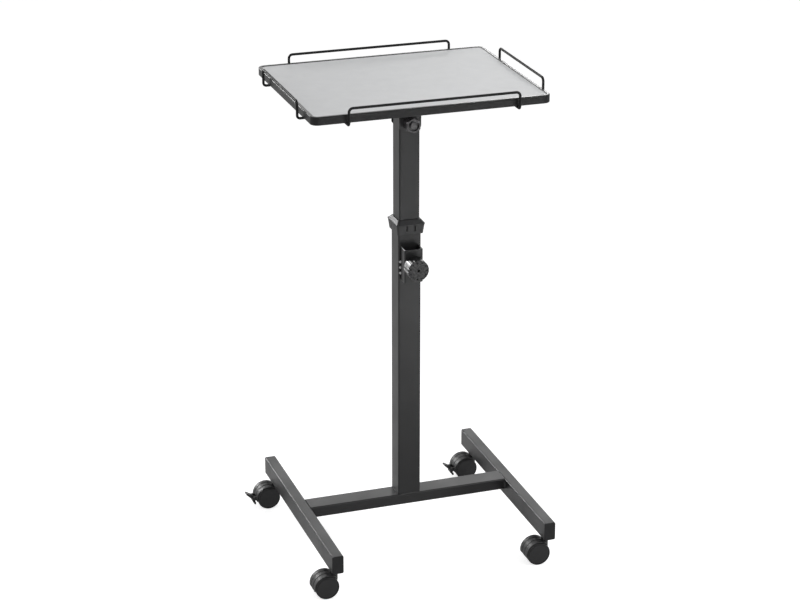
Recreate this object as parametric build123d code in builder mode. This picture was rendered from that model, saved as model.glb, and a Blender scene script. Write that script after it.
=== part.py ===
"""Portable projector stand: an H base on casters, a two-part mast and a tilting tray with wire guards."""
import os

from build123d import *

os.makedirs("parts", exist_ok=True)

# Base frame: two rails joined by a flat cross bar, all of rectangular steel tube
rail_length = 500.0
rail_width = 24.0
rail_height = 39.0
rail_spacing = 459.5
cross_bar_depth = 46.0
cross_bar_height = 24.0
tube_wall = 1.2
tube_corner = 3.0
cap_thickness = 2.0
cap_plug_depth = 14.0
cap_plug_clearance = 0.1

# Mast: the lower tube stands on the cross bar, the upper tube slides in it
lower_mast_width = 48.5
lower_mast_depth = 46.0
lower_mast_length = 608.0
mast_side_clearance = 1.3
mast_front_clearance = 0.7
upper_mast_length = 580.0
upper_mast_exposed = 225.0

# Collar: moulded guide cap on the lower tube's mouth, with two windows in each wall
collar_skirt_height = 22.0
collar_skirt_overhang = 3.2
collar_flange_overhang = 5.6
collar_rim_height = 2.4
collar_rim_overhang = 6.2
collar_lip_height = 7.0
collar_lip_wall = 2.2
collar_extra_depth = 3.5
collar_corner = 5.0
collar_tube_clearance = 0.1
collar_throat_clearance = 0.4
collar_slot_width = 2.0
collar_slot_height = 12.0
collar_slot_below_rim = 1.0
collar_slot_spacing = 17.5

# Height clamp: a channel saddle welded to the lower tube, with a knob on a screw
saddle_width = 39.5
saddle_height = 71.0
saddle_depth = 26.0
saddle_sheet = 2.5
saddle_corner = 3.0
saddle_relief_depth = 3.0
saddle_relief_height = 46.0
clamp_below_mast_top = 84.0
clamp_screw_radius = 5.0
clamp_screw_tip_gap = 0.4
clamp_knob_radius = 22.3
clamp_knob_depth = 29.0
clamp_knob_gap = 1.0
clamp_knob_edge = 1.2
clamp_knob_flutes = 22
clamp_knob_flute_radius = 2.0
clamp_knob_flute_depth = 0.7
clamp_knob_dimples = 11
clamp_knob_dimple_radius = 1.7
clamp_knob_dimple_depth = 2.6
clamp_knob_dimple_inset = 4.6
clamp_knob_eye_radius = 3.0
clamp_knob_eye_depth = 7.0
running_clearance = 0.05

# Tray bracket: plate under the tray with an ear on the front and the back of the upper tube
ear_overhang = 1.6
ear_sheet = 3.0
ear_clearance = 0.4
ear_below_pivot = 12.5
ear_corner = 6.0
pivot_below_mast_top = 12.7
pivot_below_tray = 57.4
bracket_plate_width = 145.0
bracket_plate_depth = 115.0
bracket_plate_corner = 8.0
bracket_screw_radius = 2.5
bracket_screw_inset = 14.0
tilt_bolt_radius = 4.0
tilt_bolt_head_radius = 8.5
tilt_bolt_head_height = 4.5
tilt_bolt_head_edge = 2.0
tilt_knob_radius = 16.5
tilt_knob_depth = 22.0
tilt_knob_corner = 3.0
tilt_knob_edge = 1.0
tilt_knob_groove_radius = 11.2
tilt_knob_groove_depth = 4.5
tilt_knob_boss_radius = 7.6
tilt_knob_boss_rise = 1.2
tilt_knob_wall = 3.0
tilt_knob_gap = 0.5

# Tray: laminated board in a lipped edging
tray_width = 492.0
tray_depth = 390.0
tray_thickness = 17.0
tray_corner = 15.0
tray_behind_mast = 30.0
edging_thickness = 3.0
edging_lip_width = 7.0
edging_lip_thickness = 2.0
edging_proud = 1.2
edging_seat_clearance = 0.1
edging_round = 1.8
edging_lip_round = 0.9

# Wire guards round the tray, with an eyelet at the end of each tail
guard_wire_radius = 2.6
guard_standoff = 9.0
guard_above_tray = 14.5
guard_front_span = 350.0
guard_side_span = 240.0
guard_side_forward = 6.0
guard_tail_reach = 40.0
guard_top_bend = 8.0
guard_bottom_bend = 6.0
guard_seat_gap = 0.1
guard_eyelet_radius = 6.0
guard_eyelet_hole_radius = 2.2
guard_eyelet_thickness = 2.6
guard_eyelet_drop = 0.3
guard_eyelet_overlap = 2.0

# Casters: hooded twin wheels, the two at the back with a brake pedal
front_caster_inset = 29.0
back_caster_inset = 37.5
caster_trail = 19.0
caster_neck = 7.0
wheel_radius = 25.0
wheel_width = 14.5
wheel_inner_gap = 0.8
wheel_tread_round = 2.5
wheel_dome = 1.5
wheel_groove_radius = 21.2
wheel_groove_width = 1.0
wheel_groove_depth = 0.5
axle_radius = 3.0
axle_cover = 5.0
press_clearance = 0.02
web_half_width = 5.0
web_hub_radius = 9.0
web_from_angle = 20.0
web_to_angle = 165.0
hood_clearance = 1.2
hood_thickness = 1.5
hood_setback = 2.0
hood_from_angle = 45.0
hood_to_angle = 190.0
hood_groove_width = 3.5
hood_groove_depth = 0.6
hood_groove_spacing = 13.0
pintle_boss_radius = 7.5
pintle_boss_length = 19.5
pintle_radius = 4.0
pintle_socket_depth = 22.5
pintle_collar_radius = 6.5
pintle_collar_height = 4.0
pintle_thrust_gap = 0.5
pintle_above_rail_wall = 8.0
pedal_pivot_gap = 5.0
pedal_pin_radius = 1.5
pedal_root_radius = 3.6
pedal_half_width = 6.5
pedal_tongue_length = 16.0
pedal_tongue_rise = 11.0
pedal_tip_radius = 1.6
pedal_slot_angle = 168.0
pedal_slot_overcut_angle = 1.0
shoe_gap = 4.6
shoe_radius = 2.5
shoe_angle = 198.0
shoe_half_width = 13.0
pedal_lug_gap = 0.8
pedal_lug_width = 3.5
pedal_lug_radius = 4.2

# Places that follow from the sizes above
upper_mast_width = lower_mast_width - 2 * (tube_wall + mast_side_clearance)
upper_mast_depth = lower_mast_depth - 2 * (tube_wall + mast_front_clearance)
hood_inner = wheel_radius + hood_clearance
hood_outer = hood_inner + hood_thickness
rail_bottom = wheel_radius + hood_outer + caster_neck
rail_top = rail_bottom + rail_height
rail_tube_length = rail_length - 2 * cap_thickness
front_stem_y = front_caster_inset - rail_length / 2
back_stem_y = rail_length / 2 - back_caster_inset
lower_mast_top = rail_top + lower_mast_length
collar_top = lower_mast_top + collar_lip_height
clamp_z = lower_mast_top - clamp_below_mast_top
upper_mast_top = lower_mast_top + upper_mast_exposed
upper_mast_bottom = upper_mast_top - upper_mast_length
pivot_z = upper_mast_top - pivot_below_mast_top
tray_bottom = pivot_z + pivot_below_tray
tray_top = tray_bottom + tray_thickness
pedal_pivot_reach = hood_outer + pedal_pivot_gap
pedal_tip_reach = pedal_pivot_reach + pedal_tongue_length
left_reach = rail_spacing / 2 + caster_trail + pedal_tip_reach
right_reach = tray_width / 2 + guard_standoff + guard_wire_radius
mast_x = (left_reach - right_reach) / 2


def save(part, name):
    part.label = name
    export_step(part, f"parts/{name}.step")


def rounded_tube(plane, width, height, length):
    """A straight rectangular tube that starts on the plane."""
    with BuildPart() as tube:
        with BuildSketch(plane):
            RectangleRounded(width, height, tube_corner)
            RectangleRounded(
                width - 2 * tube_wall,
                height - 2 * tube_wall,
                tube_corner - tube_wall,
                mode=Mode.SUBTRACT,
            )
        extrude(amount=length)
    return tube.part


# Rails with their end plugs
for side, direction in (("left", -1), ("right", 1)):
    rail_x = mast_x + direction * rail_spacing / 2
    rail_middle = rail_bottom + rail_height / 2
    rail_start = Plane((rail_x, -rail_tube_length / 2, rail_middle), x_dir=(1, 0, 0), z_dir=(0, 1, 0))
    with BuildPart() as rail:
        add(rounded_tube(rail_start, rail_width, rail_height, rail_tube_length))
        with BuildSketch(Plane.XY.offset(rail_bottom)):
            with Locations((rail_x, front_stem_y), (rail_x, back_stem_y)):
                Circle(pintle_radius + press_clearance)
        extrude(amount=tube_wall, mode=Mode.SUBTRACT)
    save(rail.part, f"{side}_rail")

    for end, facing in (("front", -1), ("back", 1)):
        cap_start = Plane(
            (rail_x, facing * rail_tube_length / 2, rail_middle), x_dir=(1, 0, 0), z_dir=(0, facing, 0)
        )
        with BuildPart() as cap:
            with BuildSketch(cap_start):
                RectangleRounded(rail_width, rail_height, tube_corner)
            extrude(amount=cap_thickness)
            fillet(cap.faces().sort_by(Axis.Y)[-1 if facing > 0 else 0].edges(), cap_thickness / 2)
            with BuildSketch(cap_start):
                RectangleRounded(
                    rail_width - 2 * (tube_wall + cap_plug_clearance),
                    rail_height - 2 * (tube_wall + cap_plug_clearance),
                    tube_corner - tube_wall,
                )
            extrude(amount=-cap_plug_depth)
        save(cap.part, f"{side}_rail_{end}_cap")

# Cross bar, laid flat between the rails with its top level with theirs
cross_bar_length = rail_spacing - rail_width
cross_bar_start = Plane(
    (mast_x - cross_bar_length / 2, 0, rail_top - cross_bar_height / 2), x_dir=(0, 1, 0), z_dir=(1, 0, 0)
)
with BuildPart() as cross_bar:
    add(rounded_tube(cross_bar_start, cross_bar_depth, cross_bar_height, cross_bar_length))
save(cross_bar.part, "cross_bar")

# Lower mast, with the screw hole of the height clamp in its front wall
with BuildPart() as lower_mast:
    lower_mast_start = Plane((mast_x, 0, rail_top))
    add(rounded_tube(lower_mast_start, lower_mast_width, lower_mast_depth, lower_mast_length))
    with BuildSketch(Plane((mast_x, -lower_mast_depth / 2, clamp_z), x_dir=(1, 0, 0), z_dir=(0, 1, 0))):
        Circle(clamp_screw_radius + running_clearance)
    extrude(amount=tube_wall, mode=Mode.SUBTRACT)
save(lower_mast.part, "lower_mast")

# Collar: a skirt that flares up to a rim, a sloping lip and a throat for the upper tube
collar_bottom = lower_mast_top - collar_skirt_height
rim_bottom = lower_mast_top - collar_rim_height
slot_bottom = rim_bottom - collar_slot_below_rim - collar_slot_height
throat_width = upper_mast_width + 2 * collar_throat_clearance
throat_depth = upper_mast_depth + 2 * collar_throat_clearance
collar_core_depth = lower_mast_depth + 2 * collar_extra_depth
with BuildPart() as collar:
    for level, overhang in ((collar_bottom, collar_skirt_overhang), (rim_bottom, collar_flange_overhang)):
        with BuildSketch(Plane((mast_x, 0, level))):
            RectangleRounded(
                lower_mast_width + 2 * overhang,
                collar_core_depth + 2 * overhang,
                collar_corner,
            )
    loft()
    with BuildSketch(Plane((mast_x, 0, rim_bottom))):
        RectangleRounded(
            lower_mast_width + 2 * collar_rim_overhang,
            collar_core_depth + 2 * collar_rim_overhang,
            collar_corner,
        )
    extrude(amount=collar_rim_height)
    with BuildSketch(Plane((mast_x, 0, lower_mast_top))):
        RectangleRounded(
            lower_mast_width + 2 * collar_flange_overhang,
            collar_core_depth + 2 * collar_flange_overhang,
            collar_corner,
        )
    with BuildSketch(Plane((mast_x, 0, collar_top))):
        RectangleRounded(
            throat_width + 2 * collar_lip_wall,
            throat_depth + 2 * collar_lip_wall,
            collar_corner,
        )
    loft()
    with BuildSketch(Plane((mast_x, 0, collar_bottom))):
        RectangleRounded(
            lower_mast_width + 2 * collar_tube_clearance,
            lower_mast_depth + 2 * collar_tube_clearance,
            tube_corner,
        )
    extrude(amount=collar_skirt_height, mode=Mode.SUBTRACT)
    with BuildSketch(Plane((mast_x, 0, lower_mast_top))):
        RectangleRounded(throat_width, throat_depth, tube_corner)
    extrude(amount=collar_lip_height, mode=Mode.SUBTRACT)
    with BuildSketch(Plane((mast_x, 0, slot_bottom))):
        with GridLocations(collar_slot_spacing, 0, 2, 1):
            Rectangle(collar_slot_width, collar_core_depth + 4 * collar_rim_overhang)
        with GridLocations(0, collar_slot_spacing, 1, 2):
            Rectangle(lower_mast_width + 4 * collar_rim_overhang, collar_slot_width)
    extrude(amount=collar_slot_height, mode=Mode.SUBTRACT)
save(collar.part, "mast_collar")

# Clamp saddle: a bent channel whose walls meet the front of the lower tube above a relieved length
saddle_back = -lower_mast_depth / 2
saddle_front = saddle_back - saddle_depth
saddle_bottom = clamp_z - saddle_height / 2
with BuildPart() as saddle:
    with BuildSketch(Plane((mast_x, saddle_back - saddle_depth / 2, saddle_bottom))):
        Rectangle(saddle_width, saddle_depth)
        with Locations((0, saddle_sheet)):
            Rectangle(saddle_width - 2 * saddle_sheet, saddle_depth, mode=Mode.SUBTRACT)
    extrude(amount=saddle_height)
    fillet(saddle.edges().filter_by(Axis.Z).group_by(Axis.Y)[0], saddle_corner)
    with BuildSketch(Plane((mast_x, saddle_back, saddle_bottom))):
        Rectangle(saddle_width, 2 * saddle_relief_depth)
    extrude(amount=saddle_relief_height, mode=Mode.SUBTRACT)
    with BuildSketch(Plane((mast_x, saddle_front, clamp_z), x_dir=(1, 0, 0), z_dir=(0, 1, 0))):
        Circle(clamp_screw_radius + running_clearance)
    extrude(amount=saddle_sheet, mode=Mode.SUBTRACT)
save(saddle.part, "clamp_saddle")

# Clamp knob: fluted grip with a ring of dimples and an eye in its face, on a plain screw
knob_back = saddle_front - clamp_knob_gap
knob_start = Plane((mast_x, knob_back, clamp_z), x_dir=(1, 0, 0), z_dir=(0, -1, 0))
knob_face = knob_start.offset(clamp_knob_depth)
screw_tip = -upper_mast_depth / 2 - clamp_screw_tip_gap
with BuildPart() as clamp_knob:
    with BuildSketch(knob_start):
        Circle(clamp_knob_radius)
    extrude(amount=clamp_knob_depth)
    fillet(clamp_knob.edges().filter_by(GeomType.CIRCLE), clamp_knob_edge)
    with BuildSketch(knob_start):
        flute_middle = clamp_knob_radius + clamp_knob_flute_radius - clamp_knob_flute_depth
        with PolarLocations(flute_middle, clamp_knob_flutes):
            Circle(clamp_knob_flute_radius)
    extrude(amount=clamp_knob_depth, mode=Mode.SUBTRACT)
    with BuildSketch(knob_face):
        with PolarLocations(clamp_knob_radius - clamp_knob_dimple_inset, clamp_knob_dimples):
            Circle(clamp_knob_dimple_radius)
    extrude(amount=-clamp_knob_dimple_depth, mode=Mode.SUBTRACT)
    with BuildSketch(knob_face):
        Circle(clamp_knob_eye_radius)
    extrude(amount=-clamp_knob_eye_depth, mode=Mode.SUBTRACT)
    with BuildSketch(knob_start):
        Circle(clamp_screw_radius)
    extrude(amount=-(screw_tip - knob_back))
save(clamp_knob.part, "clamp_knob")

# Upper mast with the tilt bolt's holes
bolt_across = Plane((mast_x, -upper_mast_depth / 2, pivot_z), x_dir=(1, 0, 0), z_dir=(0, 1, 0))
with BuildPart() as upper_mast:
    upper_mast_start = Plane((mast_x, 0, upper_mast_bottom))
    add(rounded_tube(upper_mast_start, upper_mast_width, upper_mast_depth, upper_mast_length))
    with BuildSketch(bolt_across):
        Circle(tilt_bolt_radius + running_clearance)
    extrude(amount=upper_mast_depth, mode=Mode.SUBTRACT)
save(upper_mast.part, "upper_mast")

# Tray bracket: plate with two ears that hug the upper tube
ear_width = upper_mast_width + 2 * ear_overhang
ear_inside = upper_mast_depth / 2 + ear_clearance
ear_outside = ear_inside + ear_sheet
ear_height = pivot_below_tray + ear_below_pivot
with BuildPart() as tray_bracket:
    with BuildSketch(Plane((mast_x, 0, tray_bottom - ear_sheet))):
        RectangleRounded(bracket_plate_width, bracket_plate_depth, bracket_plate_corner)
        with GridLocations(
            bracket_plate_width - 2 * bracket_screw_inset,
            bracket_plate_depth - 2 * bracket_screw_inset,
            2,
            2,
        ):
            Circle(bracket_screw_radius, mode=Mode.SUBTRACT)
    extrude(amount=ear_sheet)
    for ear_start in (-ear_inside, ear_outside):
        with BuildSketch(Plane((mast_x, ear_start, pivot_z), x_dir=(1, 0, 0), z_dir=(0, -1, 0))):
            with Locations((0, pivot_below_tray - ear_height / 2)):
                Rectangle(ear_width, ear_height)
            Circle(tilt_bolt_radius + running_clearance, mode=Mode.SUBTRACT)
        extrude(amount=ear_sheet)
    lower_corners = tray_bracket.edges().filter_by(Axis.Y).group_by(Axis.Z)[0]
    fillet(lower_corners, ear_corner)
save(tray_bracket.part, "tray_bracket")

# Tilt bolt: round head at the back, plain shank that carries the knob in front
bolt_head_face = ear_outside + tilt_knob_gap
tilt_knob_back = -bolt_head_face
bolt_end = tilt_knob_back - tilt_knob_depth + tilt_knob_groove_depth + tilt_knob_wall
bolt_head_start = Plane((mast_x, bolt_head_face, pivot_z), x_dir=(1, 0, 0), z_dir=(0, 1, 0))
with BuildPart() as tilt_bolt:
    with BuildSketch(bolt_head_start):
        Circle(tilt_bolt_head_radius)
    extrude(amount=tilt_bolt_head_height)
    fillet(tilt_bolt.faces().sort_by(Axis.Y)[-1].edges(), tilt_bolt_head_edge)
    with BuildSketch(bolt_head_start):
        Circle(tilt_bolt_radius)
    extrude(amount=-(bolt_head_face - bolt_end))
save(tilt_bolt.part, "tilt_bolt")

# Tilt knob: six-sided grip with a ring groove round a raised boss, on the bolt's end
tilt_knob_start = Plane((mast_x, tilt_knob_back, pivot_z), x_dir=(1, 0, 0), z_dir=(0, -1, 0))
tilt_knob_face = tilt_knob_start.offset(tilt_knob_depth)
with BuildPart() as tilt_knob:
    with BuildSketch(tilt_knob_start):
        RegularPolygon(tilt_knob_radius, 6, rotation=30)
    extrude(amount=tilt_knob_depth)
    fillet(tilt_knob.edges().filter_by(Axis.Y), tilt_knob_corner)
    fillet(tilt_knob.faces().sort_by(Axis.Y)[0].edges(), tilt_knob_edge)
    with BuildSketch(tilt_knob_face):
        Circle(tilt_knob_groove_radius)
    extrude(amount=-tilt_knob_groove_depth, mode=Mode.SUBTRACT)
    with BuildSketch(tilt_knob_face.offset(tilt_knob_boss_rise)):
        Circle(tilt_knob_boss_radius)
    extrude(amount=-(tilt_knob_boss_rise + tilt_knob_groove_depth))
    fillet(tilt_knob.faces().sort_by(Axis.Y)[0].edges(), tilt_knob_edge)
    with BuildSketch(tilt_knob_start):
        Circle(tilt_bolt_radius + running_clearance)
    extrude(amount=tilt_knob_back - bolt_end, mode=Mode.SUBTRACT)
save(tilt_knob.part, "tilt_knob")

# Tray board, rebated round its top for the lip of the edging
tray_start = Plane((mast_x, tray_behind_mast, tray_bottom))
board_width = tray_width - 2 * edging_thickness
board_depth = tray_depth - 2 * edging_thickness
board_corner = tray_corner - edging_thickness
rebate_level = tray_thickness - edging_lip_thickness
lip_width = tray_width - 2 * edging_lip_width
lip_depth = tray_depth - 2 * edging_lip_width
lip_corner = tray_corner - edging_lip_width
with BuildPart() as tray_board:
    with BuildSketch(tray_start):
        RectangleRounded(board_width, board_depth, board_corner)
    extrude(amount=rebate_level)
    with BuildSketch(tray_start.offset(rebate_level)):
        RectangleRounded(
            lip_width - 2 * edging_seat_clearance,
            lip_depth - 2 * edging_seat_clearance,
            lip_corner,
        )
    extrude(amount=edging_lip_thickness - edging_proud)
save(tray_board.part, "tray_board")

# Edging: a strip round the board with a lip that laps over its top
with BuildPart() as tray_edging:
    with BuildSketch(tray_start):
        RectangleRounded(tray_width, tray_depth, tray_corner)
    extrude(amount=tray_thickness)
    outer_faces = tray_edging.faces().filter_by(Axis.Z)
    fillet(outer_faces.edges(), edging_round)
    with BuildSketch(tray_start):
        RectangleRounded(board_width, board_depth, board_corner)
    extrude(amount=rebate_level, mode=Mode.SUBTRACT)
    with BuildSketch(tray_start.offset(rebate_level)):
        RectangleRounded(lip_width, lip_depth, lip_corner)
    extrude(amount=edging_lip_thickness, mode=Mode.SUBTRACT)
    lip_face = tray_edging.faces().sort_by(Axis.Z)[-1]
    fillet(lip_face.inner_wires()[0].edges(), edging_lip_round)
save(tray_edging.part, "tray_edging")

# Wire guards: a bent wire on each side, its tails turned in under the tray and ending in eyelets
guard_top_z = tray_top + guard_above_tray
guard_seat_z = tray_bottom - guard_seat_gap
guard_tail_z = guard_seat_z - guard_wire_radius
side_middle = tray_behind_mast - guard_side_forward
guards = (
    ("front", (0, -1), (mast_x, tray_behind_mast - tray_depth / 2), guard_front_span),
    ("back", (0, 1), (mast_x, tray_behind_mast + tray_depth / 2), guard_front_span),
    ("left", (-1, 0), (mast_x - tray_width / 2, side_middle), guard_side_span),
    ("right", (1, 0), (mast_x + tray_width / 2, side_middle), guard_side_span),
)
for side, outward, edge_middle, span in guards:
    out = Vector(outward[0], outward[1], 0)
    along = Vector(-outward[1], outward[0], 0)
    up = Vector(0, 0, 1)
    wire_line = Vector(edge_middle[0], edge_middle[1], 0) + out * guard_standoff
    tail_line = wire_line - out * guard_tail_reach
    eyelet_line = tail_line - out * (guard_eyelet_radius - guard_eyelet_overlap)
    corners = [
        tail_line - along * (span / 2) + up * guard_tail_z,
        wire_line - along * (span / 2) + up * guard_tail_z,
        wire_line - along * (span / 2) + up * guard_top_z,
        wire_line + along * (span / 2) + up * guard_top_z,
        wire_line + along * (span / 2) + up * guard_tail_z,
        tail_line + along * (span / 2) + up * guard_tail_z,
    ]
    bends = [guard_bottom_bend, guard_top_bend, guard_top_bend, guard_bottom_bend]
    with BuildPart() as guard:
        with BuildLine() as route:
            FilletPolyline(*corners, radius=bends)
        with BuildSketch(Plane(origin=route.line @ 0, z_dir=route.line % 0)):
            Circle(guard_wire_radius)
        sweep()
        for eyelet in (eyelet_line - along * (span / 2), eyelet_line + along * (span / 2)):
            with BuildSketch(Plane((eyelet.X, eyelet.Y, guard_seat_z - guard_eyelet_drop))):
                Circle(guard_eyelet_radius)
                Circle(guard_eyelet_hole_radius, mode=Mode.SUBTRACT)
            extrude(amount=-guard_eyelet_thickness)
    save(guard.part, f"{side}_guard")

# Casters are drawn once about the pintle, with the floor at zero, and then set under the rail ends
axle_centre = (-caster_trail, 0, wheel_radius)
wheel_side = Plane(axle_centre, x_dir=(1, 0, 0), z_dir=(0, -1, 0))
wheel_inner = web_half_width + wheel_inner_gap
wheel_outer = wheel_inner + wheel_width
hood_half_width = wheel_outer - hood_setback
hood_middle = hood_inner + hood_thickness / 2
pintle_collar_bottom = rail_bottom - pintle_collar_height
pintle_boss_top = pintle_collar_bottom - pintle_thrust_gap
pintle_boss_bottom = pintle_boss_top - pintle_boss_length
pintle_foot = pintle_boss_top - pintle_socket_depth
pedal_slot_half_width = pedal_half_width + pedal_lug_gap


def ring_sector(inner_radius, outer_radius, from_angle, to_angle):
    """A sector of a flat ring about the axle."""
    with BuildSketch() as sector:
        with BuildLine():
            outer = CenterArc((0, 0), outer_radius, from_angle, to_angle - from_angle)
            inner = CenterArc((0, 0), inner_radius, from_angle, to_angle - from_angle)
            Line(outer @ 0, inner @ 0)
            Line(outer @ 1, inner @ 1)
        make_face()
    return sector.sketch


def caster_body(braked):
    """Hood, web and pintle boss in one moulding, with lugs for the pedal where it is braked."""
    with BuildPart() as body:
        with BuildSketch(wheel_side):
            add(ring_sector(hood_inner, hood_outer, hood_from_angle, hood_to_angle))
        extrude(amount=hood_half_width, both=True)
        for groove_middle in (-hood_groove_spacing / 2, hood_groove_spacing / 2):
            with BuildSketch(wheel_side.offset(groove_middle)):
                groove_floor = hood_outer - hood_groove_depth
                groove_roof = hood_outer + hood_groove_depth
                add(ring_sector(groove_floor, groove_roof, hood_from_angle, hood_to_angle))
            extrude(amount=hood_groove_width / 2, both=True, mode=Mode.SUBTRACT)
        with BuildSketch(Plane.XY.offset(pintle_boss_bottom)):
            Circle(pintle_boss_radius)
        extrude(amount=pintle_boss_length)
        for wheel_start in (web_half_width, -web_half_width - hood_half_width):
            with BuildSketch(wheel_side.offset(wheel_start)):
                Circle(hood_inner)
            extrude(amount=hood_half_width, mode=Mode.SUBTRACT)
        with BuildSketch(wheel_side):
            with BuildLine():
                rim = CenterArc((0, 0), hood_middle, web_from_angle, web_to_angle - web_from_angle)
                Polyline(rim @ 1, (0, 0), rim @ 0)
            make_face()
            Circle(web_hub_radius)
        extrude(amount=web_half_width, both=True)
        if braked:
            with BuildSketch(wheel_side):
                slot_floor = hood_inner - hood_thickness
                slot_roof = hood_outer + hood_thickness
                slot_end = hood_to_angle + pedal_slot_overcut_angle
                add(ring_sector(slot_floor, slot_roof, pedal_slot_angle, slot_end))
            extrude(amount=pedal_slot_half_width, both=True, mode=Mode.SUBTRACT)
            lug_length = pedal_pivot_reach - hood_middle
            for lug_start in (pedal_slot_half_width, -pedal_slot_half_width - pedal_lug_width):
                with BuildSketch(wheel_side.offset(lug_start)):
                    with Locations((-pedal_pivot_reach, 0)):
                        Circle(pedal_lug_radius)
                    with Locations((-hood_middle - lug_length / 2, 0)):
                        Rectangle(lug_length, 2 * pedal_lug_radius)
                    with Locations((-pedal_pivot_reach, 0)):
                        Circle(pedal_pin_radius + running_clearance, mode=Mode.SUBTRACT)
                extrude(amount=pedal_lug_width)
        with BuildSketch(wheel_side):
            Circle(axle_radius + running_clearance)
        extrude(amount=web_half_width, both=True, mode=Mode.SUBTRACT)
        with BuildSketch(Plane.XY.offset(pintle_boss_top)):
            Circle(pintle_radius + running_clearance)
        extrude(amount=-pintle_socket_depth, mode=Mode.SUBTRACT)
    return body.part


# Pintle: pressed through the rail's bottom wall, with a collar that takes the load
with BuildPart() as pintle:
    with BuildSketch(Plane.XY.offset(pintle_foot + pintle_thrust_gap)):
        Circle(pintle_radius)
    extrude(amount=rail_bottom + tube_wall + pintle_above_rail_wall - pintle_foot - pintle_thrust_gap)
    with BuildSketch(Plane.XY.offset(pintle_collar_bottom)):
        Circle(pintle_collar_radius)
    extrude(amount=pintle_collar_height)

# Wheel: disc with a domed face, a ring groove inside its rim and a blind bore for the axle
with BuildPart() as wheel:
    with BuildSketch(Plane(axle_centre, x_dir=(1, 0, 0), z_dir=(0, 0, 1))):
        with BuildLine():
            face = TangentArc((0, -wheel_outer), (wheel_radius, wheel_dome - wheel_outer), tangent=(1, 0))
            Polyline(face @ 1, (wheel_radius, -wheel_inner), (0, -wheel_inner), face @ 0)
        make_face()
    revolve(axis=Axis(axle_centre, (0, 1, 0)))
    fillet(wheel.edges().filter_by(GeomType.CIRCLE), wheel_tread_round)
    with BuildSketch(wheel_side.offset(wheel_outer)):
        Circle(wheel_groove_radius + wheel_groove_width)
        Circle(wheel_groove_radius, mode=Mode.SUBTRACT)
    extrude(amount=-(wheel_dome + wheel_groove_depth), mode=Mode.SUBTRACT)
    with BuildSketch(Plane((-caster_trail, -wheel_inner, wheel_radius), x_dir=(1, 0, 0), z_dir=(0, -1, 0))):
        Circle(axle_radius + press_clearance)
    extrude(amount=wheel_width - axle_cover, mode=Mode.SUBTRACT)

# Axle: a plain pin that carries both wheels
axle_half_length = wheel_outer - axle_cover
with BuildPart() as axle:
    with BuildSketch(wheel_side):
        Circle(axle_radius)
    extrude(amount=axle_half_length, both=True)

# Brake pedal: an upturned tongue and a shoe bar that swings towards the treads, on a cross pin
shoe_distance = wheel_radius + shoe_gap + shoe_radius
with BuildPart() as pedal:
    with BuildSketch(wheel_side):
        with Locations((-pedal_pivot_reach, 0)):
            Circle(pedal_root_radius)
        with Locations((pedal_tip_radius - pedal_tip_reach, pedal_tongue_rise)):
            Circle(pedal_tip_radius)
        make_hull()
    extrude(amount=pedal_half_width, both=True)
    with BuildSketch(wheel_side):
        with Locations((-pedal_pivot_reach, 0)):
            Circle(pedal_root_radius)
        with PolarLocations(shoe_distance, 1, start_angle=shoe_angle):
            Circle(shoe_radius)
        make_hull()
    extrude(amount=pedal_half_width, both=True)
    with BuildSketch(wheel_side):
        with PolarLocations(shoe_distance, 1, start_angle=shoe_angle):
            Circle(shoe_radius)
    extrude(amount=shoe_half_width, both=True)
    with BuildSketch(wheel_side):
        with Locations((-pedal_pivot_reach, 0)):
            Circle(pedal_pin_radius)
    extrude(amount=pedal_slot_half_width + pedal_lug_width, both=True)

plain_body = caster_body(braked=False)
braked_body = caster_body(braked=True)
far_wheel = wheel.part.mirror(Plane.XZ)
for end, stem_y in (("front", front_stem_y), ("back", back_stem_y)):
    for side, direction in (("left", -1), ("right", 1)):
        corner = Location((mast_x + direction * rail_spacing / 2, stem_y, 0))
        braked = end == "back"
        save((braked_body if braked else plain_body).moved(corner), f"{end}_{side}_caster_hood")
        save(pintle.part.moved(corner), f"{end}_{side}_caster_pintle")
        save(wheel.part.moved(corner), f"{end}_{side}_caster_near_wheel")
        save(far_wheel.moved(corner), f"{end}_{side}_caster_far_wheel")
        save(axle.part.moved(corner), f"{end}_{side}_caster_axle")
        if braked:
            save(pedal.part.moved(corner), f"{end}_{side}_brake_pedal")
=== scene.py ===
import math

import bmesh
import bpy
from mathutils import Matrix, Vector


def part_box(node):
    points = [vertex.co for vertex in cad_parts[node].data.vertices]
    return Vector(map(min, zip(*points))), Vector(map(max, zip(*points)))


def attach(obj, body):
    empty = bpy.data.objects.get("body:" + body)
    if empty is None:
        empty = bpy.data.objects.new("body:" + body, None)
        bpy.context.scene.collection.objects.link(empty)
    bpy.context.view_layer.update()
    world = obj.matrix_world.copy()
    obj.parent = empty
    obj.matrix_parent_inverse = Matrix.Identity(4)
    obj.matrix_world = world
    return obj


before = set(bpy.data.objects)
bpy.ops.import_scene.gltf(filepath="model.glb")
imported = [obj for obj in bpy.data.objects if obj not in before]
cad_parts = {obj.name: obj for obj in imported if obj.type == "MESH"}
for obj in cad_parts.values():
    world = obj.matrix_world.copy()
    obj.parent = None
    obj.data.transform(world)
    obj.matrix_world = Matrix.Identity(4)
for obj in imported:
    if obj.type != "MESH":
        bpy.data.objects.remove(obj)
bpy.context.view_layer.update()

# The base: two rails and a flat cross bar of rectangular steel tube with rolled corners, welded into an H.
# The joints are ground flush on top, left as rippled fillets elsewhere, and powder coated satin black.
mm = 0.001


def linear(hex_colour):
    """Turn an sRGB hex colour into the linear colour that a shader takes."""
    shares = [int(hex_colour[i:i + 2], 16) / 255 for i in (1, 3, 5)]
    return [s / 12.92 if s <= 0.04045 else ((s + 0.055) / 1.055) ** 2.4 for s in shares] + [1.0]


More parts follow.
